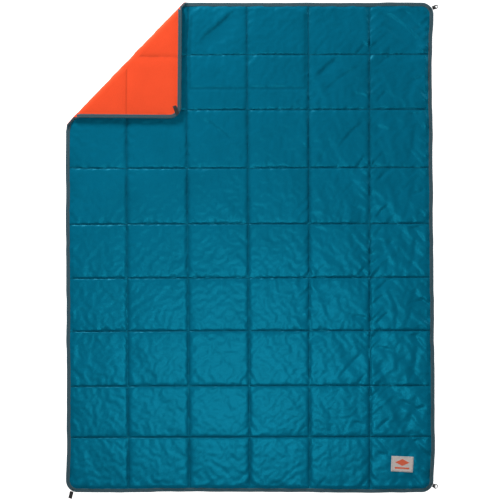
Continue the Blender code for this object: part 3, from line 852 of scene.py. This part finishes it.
STATION, ARC_STEPS = 0.008, 14
ARC_X, ARC_Y = HALF_X - CORNER, HALF_Y - CORNER


def arc(cx, cy, start, sweep):
    """Stations round a corner of the cloth, angles in degrees."""
    made = []
    for k in range(ARC_STEPS):
        a = math.radians(start + sweep * k / ARC_STEPS)
        out = np.array([math.cos(a), math.sin(a)])
        made.append((np.array([cx, cy]) + out * CORNER, out))
    return made


def straight(start, end, outward):
    count = max(2, int(np.linalg.norm(np.subtract(end, start)) / STATION))
    away = np.subtract(end, start)
    return [(np.array(start) + away * k / count, np.array(outward)) for k in range(count)]


def outline_path():
    """The cloth's edge as (place, outward), from the corner fold round the foot to the head."""
    left_end = CUT + MAIN_S[0] * EDGE_DIR
    head_end = CUT + MAIN_S[1] * EDGE_DIR
    return [
        *straight((-HALF_X, left_end[1]), (-HALF_X, -ARC_Y), (-1, 0)),
        *arc(-ARC_X, -ARC_Y, 180, 90),
        *straight((-ARC_X, -HALF_Y), (ARC_X, -HALF_Y), (0, -1)),
        *arc(ARC_X, -ARC_Y, 270, 90),
        *straight((HALF_X, -ARC_Y), (HALF_X, ARC_Y), (1, 0)),
        *arc(ARC_X, ARC_Y, 0, 90),
        *straight((ARC_X, HALF_Y), (head_end[0], HALF_Y), (0, 1)),
        (np.array([head_end[0], HALF_Y]), np.array([0.0, 1.0])),
    ]


def flap_path():
    """The flap's edge in the flat, from its fold end on the side round to the head edge."""
    side_end = FLAP_CUT_A + FLAP_S[0] * FLAP_CUT_DIR
    head_end = FLAP_CUT_A + FLAP_S[1] * FLAP_CUT_DIR
    side, head = np.array([-1.0, 0.0]), np.array([0.0, 1.0])
    return [
        *[(np.array([-HALF_X, y]), side) for y in np.arange(side_end[1], ARC_Y, STATION)],
        *arc(-ARC_X, ARC_Y, 180, -90),
        *[(np.array([x, HALF_Y]), head) for x in np.arange(-ARC_X, head_end[0], STATION)],
        (np.array([head_end[0], HALF_Y]), head),
    ]


def tape_section():
    """The folded tape's section as (outward, up), both measured from the edge of the cloth."""
    top = [(-BINDING, 0.0013), (-BINDING + 0.0004, 0.0022), (-0.0092, 0.0026), (-0.0064, 0.0022)]
    top += [(-0.0042, 0.0025), (-0.0016, 0.0027)]
    nose = [
        (NOSE * math.cos(math.radians(a)), NOSE * math.sin(math.radians(a)))
        for a in (75, 50, 25, 0, -25, -50, -75)
    ]
    low = [(u, -z) for u, z in reversed(top)]
    return top + nose + low


def band(name, material, stations, section):
    """A tape swept along stations of (place, outward, up), each in three dimensions."""
    places = np.array([s[0] for s in stations])
    outs = np.array([s[1] for s in stations])
    ups = np.array([s[2] for s in stations])
    run = run_along(places)
    sec = np.array(section)
    ripple = 1 + 0.10 * noise(run * 60, run * 0 + 1.5, 71)[:, None]
    points = (
        places[:, None]
        + outs[:, None] * sec[None, :, :1]
        + ups[:, None] * (sec[None, :, 1:] * ripple[:, :, None])
    )
    girth = run_along(sec)
    uv = np.stack(np.broadcast_arrays(run[:, None], girth[None, :]), axis=-1).reshape(-1, 2)
    quads = grid_quads(len(stations), len(sec), flip=True)
    return make_mesh(name, points.reshape(-1, 3), quads, uv, material), run[-1]


def stations_main():
    made = []
    for place, out in outline_path():
        lifted = lay(np.array([[place[0], place[1], NOSE_Z]]))[0]
        made.append((lifted, np.array([out[0], out[1], 0.0]), np.array([0.0, 0.0, 1.0])))
    return made


def stations_flap():
    made = []
    for place, out in flap_path():
        at = lay_flap(np.array([[place[0], place[1], NOSE_Z]]))[0]
        tip = lay_flap(np.array([[place[0] + out[0], place[1] + out[1], NOSE_Z]]))[0]
        made.append((at, tip - at, np.array([0.0, 0.0, -1.0])))
    return made


WRAP_HALF, WRAP_END = 9, 0.35  # stations in each half of the wrap, and where it stops


def stations_wrap(end):
    """The binding where it goes round the fold with the cloth, at the side (0) or the head (1)."""
    flat_out = np.array([[-1.0, 0.0], [0.0, 1.0]][end])
    plan_a = CUT + MAIN_S[end] * EDGE_DIR + flat_out * EDGE_INSET
    flap_at = FLAP_CUT_A + FLAP_S[end] * FLAP_CUT_DIR + flat_out * EDGE_INSET
    plan_b = mirrored(flap_at[None])[0]
    out_b = mirrored((flap_at + flat_out)[None])[0] - plan_b
    made = []
    for f in (*np.linspace(0, WRAP_END, WRAP_HALF), *np.linspace(1 - WRAP_END, 1, WRAP_HALF)):
        wave = math.sin(math.pi * f)
        gone = 0.25 * wave / math.sin(math.pi * WRAP_END)
        gone = gone if f < 0.5 else 1 - gone
        plan = plan_a + gone * (plan_b - plan_a) + EDGE_OUT * (SETBACK - 0.0040) * wave
        z = FOLD_Z - (FOLD_Z - NOSE_Z) * math.cos(math.pi * f)
        out = unit(flat_out + smooth(0, 1, f) * (out_b - flat_out) + 1e-9)
        up = np.array([*(-EDGE_OUT * wave), math.cos(math.pi * f)])
        made.append((to_row(np.array([[*plan, z]]))[0], np.array([*out, 0.0]), unit(up)))
    return made


SECTION = tape_section()
runs = {
    "edge_binding": stations_main(),
    "edge_binding_flap": stations_flap(),
    "edge_binding_side_wrap": stations_wrap(0),
    "edge_binding_head_wrap": stations_wrap(1),
}
# edge_binding_flap is also the name of a CAD node, so that tape has another
tape_names = {**{name: name for name in runs}, "edge_binding_flap": "edge_tape_flap"}
tapes = {name: band(tape_names[name], TAPE, run, SECTION) for name, run in runs.items()}


# ---- stitches

STITCH, STITCH_PITCH, STITCH_HALF = 0.0027, 0.0036, 0.00038


def stitch_row(name, material, rows):
    """Single stitches along rows of (points, ups): each dips into the cloth at both ends."""
    shape = np.array(
        [(-0.5, 0, -0.6), (-0.18, 0.9, 0), (-0.18, -0.9, 0), (-0.18, 0, 0.9), (0.18, 0.9, 0)]
        + [(0.18, -0.9, 0), (0.18, 0, 0.9), (0.5, 0, -0.6)]
    )
    facets = [(0, 3, 1), (0, 2, 3), (1, 3, 6, 4), (3, 2, 5, 6), (4, 6, 7), (6, 5, 7)]
    facets += [(0, 1, 4, 7), (0, 7, 5, 2)]
    all_points, all_faces, count = [], [], 0
    for path, ups in rows:
        path, ups = np.asarray(path, float), np.asarray(ups, float)
        run = run_along(path)
        for s in np.arange(STITCH_PITCH, run[-1] - STITCH_PITCH, STITCH_PITCH):
            at = np.array([np.interp(s, run, path[:, k]) for k in range(3)])
            ahead = np.array([np.interp(s + 0.001, run, path[:, k]) for k in range(3)])
            up = unit(np.array([np.interp(s, run, ups[:, k]) for k in range(3)]))
            along = unit(ahead - at)
            side = unit(np.cross(up, along))
            up = np.cross(along, side)
            piece = (
                at
                + shape[:, :1] * STITCH * along
                + shape[:, 1:2] * STITCH_HALF * side
                + shape[:, 2:] * STITCH_HALF * up
            )
            all_points.append(piece)
            all_faces.extend(tuple(i + count for i in f) for f in facets)
            count += len(shape)
    return make_mesh(name, np.concatenate(all_points), all_faces, None, material, False)


def facing(path, up):
    """One upward (1) or downward (-1) direction for each point of a row."""
    return np.tile([0, 0, up], (len(path), 1))


def seam_lines():
    """Flat lines of the quilting, as (kind, points)."""
    y = np.linspace(-HALF_Y + BINDING + 0.001, HALF_Y - BINDING - 0.001, 500)
    x = np.linspace(-HALF_X + BINDING + 0.001, HALF_X - BINDING - 0.001, 380)
    lines = []
    for k in range(1, COLUMNS):
        lines.append(("lengthwise", np.stack([-HALF_X + k * PITCH_X + wander_x(y, k), y], 1)))
    for k in range(1, ROWS):
        lines.append(("crosswise", np.stack([x, HALF_Y - k * PITCH_Y + wander_y(x, k)], 1)))
    return lines


def cut_to(line, keeps):
    """The part of a flat line that the cuts leave."""
    for point, outward in keeps:
        line = line[(line - point) @ outward < -0.001]
    return line


def seam_rows(keeps, height, placed, up, kind=None):
    """Rows of stitches on the seams of one kind, or of both."""
    rows = []
    for name, line in seam_lines():
        kept = cut_to(line, keeps) if kind in (name, None) else []
        if len(kept) > 3:
            z = height(kept[:, 0], kept[:, 1]) + 0.0002 * up
            points = placed(np.column_stack([kept, z]))
            flat_up = 1.0 if placed is lay else -1.0
            rows.append((points, facing(points, up * flat_up)))
    return rows


def tape_rows(name, stations):
    """The topstitching on both sides of a tape. Round the fold it stops at each half's end."""
    parts = (stations[:WRAP_HALF], stations[WRAP_HALF:]) if name.endswith("_wrap") else (stations,)
    rows = []
    for part in parts:
        for sign in (1, -1):
            path = [p + o * -0.0064 + u * sign * (0.0022 + 0.0002) for p, o, u in part]
            rows.append((path, [u * sign for _, _, u in part]))
    return rows


lengthwise = stitch_row(
    "lengthwise_stitches", TEAL_THREAD, seam_rows(MAIN_KEEP, top_z, lay, 1, "lengthwise")
)
crosswise = stitch_row(
    "crosswise_stitches", TEAL_THREAD, seam_rows(MAIN_KEEP, top_z, lay, 1, "crosswise")
)
back_stitches = stitch_row("back_stitches", ORANGE_THREAD, seam_rows(MAIN_KEEP, low_z, lay, -1))
flap_face_stitches = stitch_row(
    "flap_face_stitches", TEAL_THREAD, seam_rows(FLAP_KEEP, top_z, lay_flap, 1)
)
flap_back_stitches = stitch_row(
    "flap_back_stitches", ORANGE_THREAD, seam_rows(FLAP_KEEP, low_z, lay_flap, -1)
)
edge_stitches = {
    name: stitch_row(name + "_stitches", SLATE_THREAD, tape_rows(name, run))
    for name, run in runs.items()
}


# ---- label

LABEL_AT = np.array([HALF_X - PITCH_X / 2, -HALF_Y + PITCH_Y / 2])
LABEL_SIZE = (0.080, 0.058)
LABEL_TURN, LABEL_THICK = math.radians(-3.0), 0.0005


def even_grid(span_x, nx, span_y, ny):
    x, y = np.meshgrid(np.linspace(*span_x, nx), np.linspace(*span_y, ny), indexing="ij")
    return x.ravel(), y.ravel()


def path_through(corners, steps):
    """Points along straight lines from corner to corner."""
    path = []
    for a, b in zip(corners, corners[1:]):
        path += [np.array(a) + np.subtract(b, a) * k / steps for k in range(steps)]
    return np.array([*path, corners[-1]])


def label_material():
    """A pale satin ground with a plain lozenge over a bar."""
    nodes = Nodes("label_cloth", (0.66, 0.60, 0.57), 0.88)
    uv = nodes.uv()
    x, y = nodes.split(uv)[0], nodes.split(uv)[1]

    def off(axis, place, scale):
        moved = nodes.math("ABSOLUTE", nodes.math("SUBTRACT", axis, place))
        return nodes.math("DIVIDE", moved, scale)

    lozenge = nodes.math("ADD", off(x, 0.0, 0.026), off(y, 0.006, 0.013))
    bar = nodes.math("MAXIMUM", off(x, 0.0, 0.026), off(y, -0.015, 0.0032))
    mark = nodes.math("LESS_THAN", nodes.math("MINIMUM", lozenge, bar), 1.0)
    pale = [(0.3, (0.52, 0.46, 0.43)), (0.7, (0.78, 0.72, 0.69))]
    red = [(0.3, (0.72, 0.11, 0.05)), (0.7, (0.88, 0.17, 0.08))]
    ground = nodes.ramp(nodes.noise(uv, 900), pale)
    relief = nodes.math("ADD", nodes.math("MULTIPLY", nodes.wave(y, 0.0009), 0.35), mark)
    nodes.shade(
        Base_Color=nodes.mix(mark, ground, nodes.ramp(nodes.noise(uv, 700), red)),
        Normal=nodes.bump(relief, 0.5, 0.0004),
    )
    return nodes.material


def on_label(local):
    c, s = math.cos(LABEL_TURN), math.sin(LABEL_TURN)
    return LABEL_AT + np.asarray(local) @ np.array([[c, s], [-s, c]])


def label_height(flat):
    """The label bridges the small wrinkles under it."""
    z = 0
    for ox in (-0.012, 0, 0.012):
        for oy in (-0.012, 0, 0.012):
            z = z + top_z(flat[:, 0] + ox, flat[:, 1] + oy) / 9
    return np.maximum(z, top_z(flat[:, 0], flat[:, 1])) + 0.0004


def make_label():
    nx, ny = 26, 19
    x, y = even_grid((-0.5, 0.5), nx, (-0.5, 0.5), ny)
    local = np.stack([x * LABEL_SIZE[0], y * LABEL_SIZE[1]], 1)
    flat = on_label(local)
    points = lay(np.column_stack([flat, label_height(flat) + LABEL_THICK]))
    quads = grid_quads(nx, ny)
    piece = make_mesh("woven_label_cloth", points, quads, local, label_material())
    thick = piece.modifiers.new("thickness", "SOLIDIFY")
    thick.thickness, thick.offset = LABEL_THICK, -1
    w, h = LABEL_SIZE[0] / 2 - 0.003, LABEL_SIZE[1] / 2 - 0.003
    ring = on_label(path_through([(-w, -h), (w, -h), (w, h), (-w, h), (-w, -h)], 20))
    path = lay(np.column_stack([ring, label_height(ring) + 0.0007]))
    return piece, stitch_row("label_stitches", SLATE_THREAD, [(path, facing(path, 1.0))])


label, label_stitches = make_label()


# ---- stow pocket on the back


def make_pocket():
    half, head, foot = POCKET_HALF, POCKET_HEAD, POCKET_FOOT
    nx, ny, hem_ny = 80, 56, 5
    x, y = even_grid((-half, half), nx, (foot, head), ny)
    rim = np.minimum(half - np.abs(x), y - foot)
    z = 0.0012 - 0.0007 * smooth(0.004, 0.03, rim) + 0.0002 * layered(x * 16, y * 16, 31, 2)
    points = lay(np.column_stack([x, y, np.clip(z, 0.0003, 0.0016)]))
    panel = make_mesh(
        "pocket_cloth", points, grid_quads(nx, ny, flip=True), np.stack([x, y], 1), ORANGE
    )
    x, y = even_grid((-half, half), nx, (head - HEM_WIDTH, head), hem_ny)
    points = lay(np.column_stack([x, y, np.full(x.shape, 0.0002)]))
    hem = make_mesh(
        "pocket_hem_tape", points, grid_quads(nx, hem_ny, flip=True), np.stack([x, y], 1), TAPE
    )
    # the stitches cut across the pocket's two inner corners
    cut = 0.020
    side, low, mouth = half - POCKET_INSET, foot + POCKET_INSET, head - HEM_WIDTH - 0.001
    path = [(side, mouth), (side, low + cut), (side - cut, low)]
    path += [(-side + cut, low), (-side, low + cut), (-side, mouth)]
    path = path_through(path, 30)
    path = lay(np.column_stack([path, np.full(len(path), 0.0006)]))
    return panel, hem, stitch_row("pocket_stitches", ORANGE_THREAD, [(path, facing(path, -1.0))])


pocket, hem, pocket_stitches = make_pocket()


# ---- the flap, label and pocket pieces go with their bodies; the CAD parts they cover are hidden, and the loops and bartacks get their materials

MAIN_SEAMS = [f"crosswise_seam_{k}" for k in range(1, 7)]
FOOT_SEAMS = ["crosswise_seam_7_foot", "crosswise_seam_8_foot"]
LONG_SEAMS = [f"lengthwise_seam_{k}" for k in range(1, 6)]

for piece in (face, back, lengthwise, crosswise, back_stitches):
    bend_at_foot(piece)
bend_at_foot(tapes["edge_binding"][0])
bend_at_foot(edge_stitches["edge_binding"])
for piece in (face_flap, back_flap, flap_face_stitches, flap_back_stitches):
    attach(piece, "corner_flap")
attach(tapes["edge_binding_flap"][0], "corner_flap")
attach(edge_stitches["edge_binding_flap"], "corner_flap")
for piece in (back_fold, face_fold):
    bend_at_corner(piece)
for name in ("edge_binding_side_wrap", "edge_binding_head_wrap"):
    bend_at_corner(tapes[name][0])
    bend_at_corner(edge_stitches[name])
for piece in (label, label_stitches):
    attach(piece, "foot_third")
for piece in (pocket, hem, pocket_stitches):
    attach(piece, "blanket")

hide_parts("face_shell", "face_shell_foot", "batting", "batting_foot")
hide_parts("back_shell", "back_shell_foot")
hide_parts("face_shell_flap", "batting_flap")
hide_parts("back_shell_flap")
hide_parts(*LONG_SEAMS, *[n + "_foot" for n in LONG_SEAMS])
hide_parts(*MAIN_SEAMS, *FOOT_SEAMS)
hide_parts("lengthwise_seam_1_flap", "crosswise_seam_1_flap")
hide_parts("edge_binding_left", "edge_binding_head", "edge_binding_foot")
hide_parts("edge_binding_flap")
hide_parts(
    "topstitching_left", "topstitching_head", "topstitching_foot"
)
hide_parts("topstitching_flap")
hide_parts("woven_label")
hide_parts("label_stitching")
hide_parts("pocket_panel")
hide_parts("pocket_hem")
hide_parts("pocket_stitching")

for node_name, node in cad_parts.items():
    if node_name.endswith("_loop") or node_name.endswith("_bartack"):
        node.data.materials.clear()
        node.data.materials.append(WEBBING if node_name.endswith("_loop") else SLATE_THREAD)
        soft = node.modifiers.new("worn_edges", "BEVEL")
        soft.width = 0.0003
        soft.segments = 2


# ---- floor, light and camera


FLOOR_SIDE, FLOOR_Z = 9, -0.0008
floor_nodes = Nodes("pale_floor", (0.93, 0.93, 0.93), 0.9)
floor_nodes.shade(Emission_Color=(1, 1, 1, 1), Emission_Strength=0.85)
floor_corners = [
    (i * FLOOR_SIDE, j * FLOOR_SIDE, FLOOR_Z) for i, j in ((-1, -1), (1, -1), (1, 1), (-1, 1))
]
floor = make_mesh("floor", floor_corners, [(0, 1, 2, 3)], None, floor_nodes.material, False)


def area_light(name, place, target, size, power):
    data = bpy.data.lights.new(name, "AREA")
    data.shape = "RECTANGLE"
    data.size, data.size_y = size
    data.energy = power
    lamp = bpy.data.objects.new(name, data)
    bpy.context.scene.collection.objects.link(lamp)
    lamp.location = place
    aim = Vector(np.subtract(target, place))
    lamp.rotation_euler = aim.to_track_quat("-Z", "Y").to_euler()


world = bpy.data.worlds.new("studio")
world.use_nodes = True
sky = world.node_tree.nodes["Background"].inputs
sky[0].default_value, sky[1].default_value = (1, 1, 1, 1), 0.13
bpy.context.scene.world = world
bpy.context.scene.view_settings.view_transform = "Standard"
area_light("key", (-1.3, 2.45, 1.05), (0.1, -0.2, 0), (0.6, 0.6), 64)
area_light("overhead", (-0.06, -0.62, 2.3), (-0.06, -0.62, 0), (0.5, 0.5), 23)
area_light("rake", (2.1, 1.5, 0.95), (0.2, 0.1, 0), (0.6, 0.6), 9)

# straight above, far off through a long lens
LENS, SENSOR = 200, 36
VIEW_WIDTH = 1.905
camera_data = bpy.data.cameras.new("camera")
camera_data.lens, camera_data.sensor_width = LENS, SENSOR
camera = bpy.data.objects.new("camera", camera_data)
bpy.context.scene.collection.objects.link(camera)
camera.location = (-0.0074, 0.0028, VIEW_WIDTH / 2 / (SENSOR / 2 / LENS))
camera.rotation_euler = (0, 0, 0)
camera_data.clip_end = 100
bpy.context.scene.camera = camera
